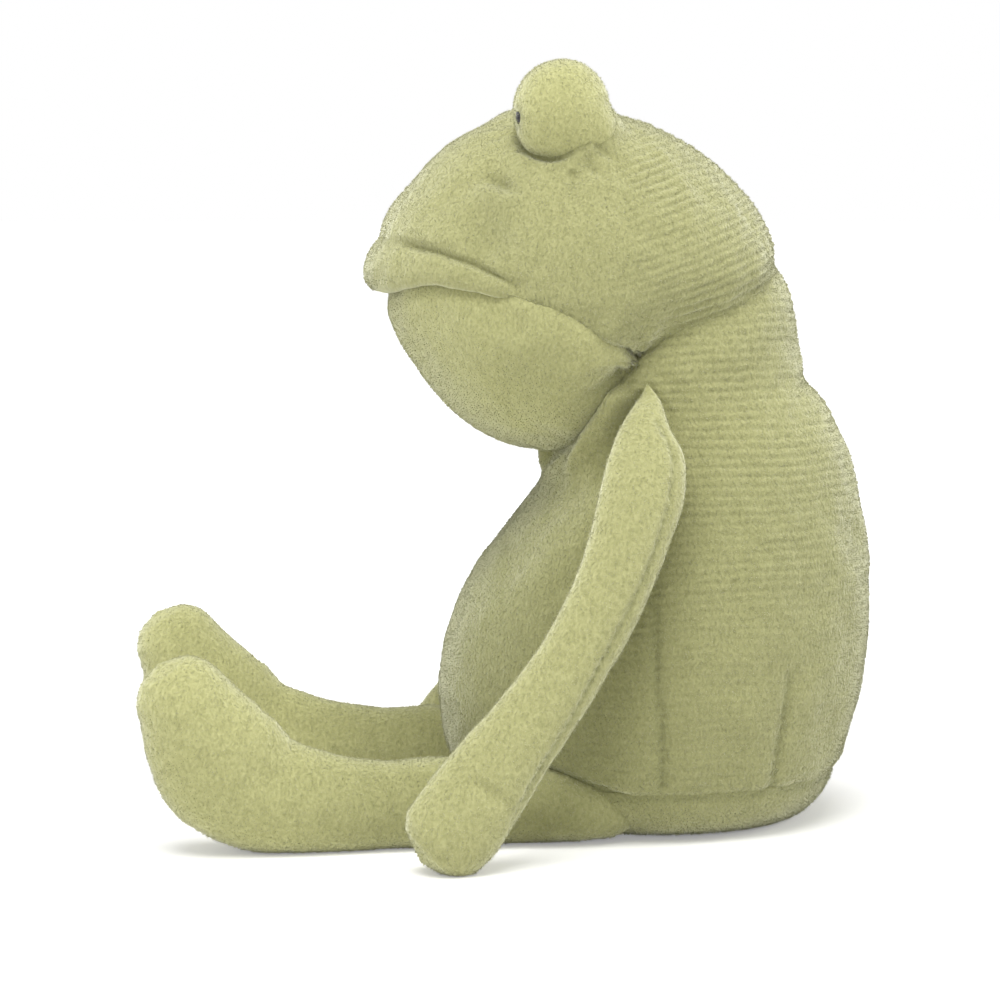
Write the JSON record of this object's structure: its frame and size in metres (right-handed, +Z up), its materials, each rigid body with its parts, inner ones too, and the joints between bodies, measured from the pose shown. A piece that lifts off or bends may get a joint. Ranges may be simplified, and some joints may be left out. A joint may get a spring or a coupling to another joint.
{
  "type": "plush frog",
  "caption": "Seated soft toy frog with a wide mouth, raised eyes, hanging arms and legs stretched out ahead, sewn from short-pile cloth over fibre stuffing.",
  "frame": {"origin": "middle of the flat seat, on the surface that the frog sits on", "axes": "+Z up, the frog faces -Y, +X is its left side"},
  "size_m": [0.1378, 0.1474, 0.1506],
  "materials": {
    "ribbed_plush": "pale green short-pile plush with fine ribs",
    "velour": "pale green smooth velour",
    "limb_plush": "pale green fuzzy plush with a longer nap at the hands and feet",
    "stitching": "gathered cloth and green thread",
    "fibre": "loose white polyester fibre",
    "bead_pouch": "plain woven pouch of plastic beads",
    "bead": "polished black",
    "washer": "plain moulded"
  },
  "bodies": {
    "torso": {"torso_cover": "ribbed_plush", "base_panel": "ribbed_plush", "torso_filling": "fibre", "bean_bag": "bead_pouch"},
    "neck": {"neck_cover": "ribbed_plush", "neck_filling": "fibre"},
    "head": {"head_cover": "velour", "chin_cover": "velour", "head_filling": "fibre", "eye_mound_cover_left": "velour", "eye_mound_cover_right": "velour", "eye_mound_filling_left": "fibre", "eye_mound_filling_right": "fibre", "eye_left": "bead", "eye_right": "bead", "eye_washer_left": "washer", "eye_washer_right": "washer"},
    "shoulder_left": {"shoulder_knot_left": "stitching"},
    "arm_left": {"arm_cover_left": "limb_plush", "arm_filling_left": "fibre"},
    "shoulder_right": {"shoulder_knot_right": "stitching"},
    "arm_right": {"arm_cover_right": "limb_plush", "arm_filling_right": "fibre"},
    "hip_left": {"hip_gather_left": "stitching"},
    "leg_left": {"leg_cover_left": "limb_plush", "leg_filling_left": "fibre"},
    "hip_right": {"hip_gather_right": "stitching"},
    "leg_right": {"leg_cover_right": "limb_plush", "leg_filling_right": "fibre"}
  },
  "joints": [
    {"name": "neck_nod", "type": "hinge", "parent": "torso", "child": "neck", "pos_m": [0, -0.0125, 0.089], "axis": [1, 0, 0], "range_deg": [-25, 8], "deforming": ["neck_cover", "neck_filling"]},
    {"name": "head_turn", "type": "hinge", "parent": "neck", "child": "head", "pos_m": [0, -0.0125, 0.089], "axis": [0, -0.5878, 0.809], "range_deg": [-25, 25]},
    {"name": "arm_left_swing", "type": "hinge", "parent": "torso", "child": "shoulder_left", "pos_m": [0.031, -0.0118, 0.0855], "axis": [-0.9397, 0, 0.342], "range_deg": [-30, 100]},
    {"name": "arm_left_raise", "type": "hinge", "parent": "shoulder_left", "child": "arm_left", "pos_m": [0.031, -0.0118, 0.0855], "axis": [0, -0.9207, 0.3903], "range_deg": [0, 60]},
    {"name": "arm_right_swing", "type": "hinge", "parent": "torso", "child": "shoulder_right", "pos_m": [-0.031, -0.0118, 0.0855], "axis": [-0.9397, 0, -0.342], "range_deg": [-30, 100]},
    {"name": "arm_right_raise", "type": "hinge", "parent": "shoulder_right", "child": "arm_right", "pos_m": [-0.031, -0.0118, 0.0855], "axis": [0, 0.9207, -0.3903], "range_deg": [0, 60]},
    {"name": "leg_left_spread", "type": "hinge", "parent": "torso", "child": "hip_left", "pos_m": [0.03038, -0.03325, 0.0064], "axis": [0, 0, 1], "range_deg": [0, 18], "deforming": ["hip_gather_left"]},
    {"name": "leg_left_swing", "type": "hinge", "parent": "hip_left", "child": "leg_left", "pos_m": [0.03038, -0.03325, 0.0064], "axis": [0.9763, 0.2164, 0], "range_deg": [0, 65]},
    {"name": "leg_right_spread", "type": "hinge", "parent": "torso", "child": "hip_right", "pos_m": [-0.029, -0.03372, 0.0064], "axis": [0, 0, -1], "range_deg": [0, 18], "deforming": ["hip_gather_right"]},
    {"name": "leg_right_swing", "type": "hinge", "parent": "hip_right", "child": "leg_right", "pos_m": [-0.029, -0.03372, 0.0064], "axis": [1, 0, 0], "range_deg": [0, 65]}
  ]
}
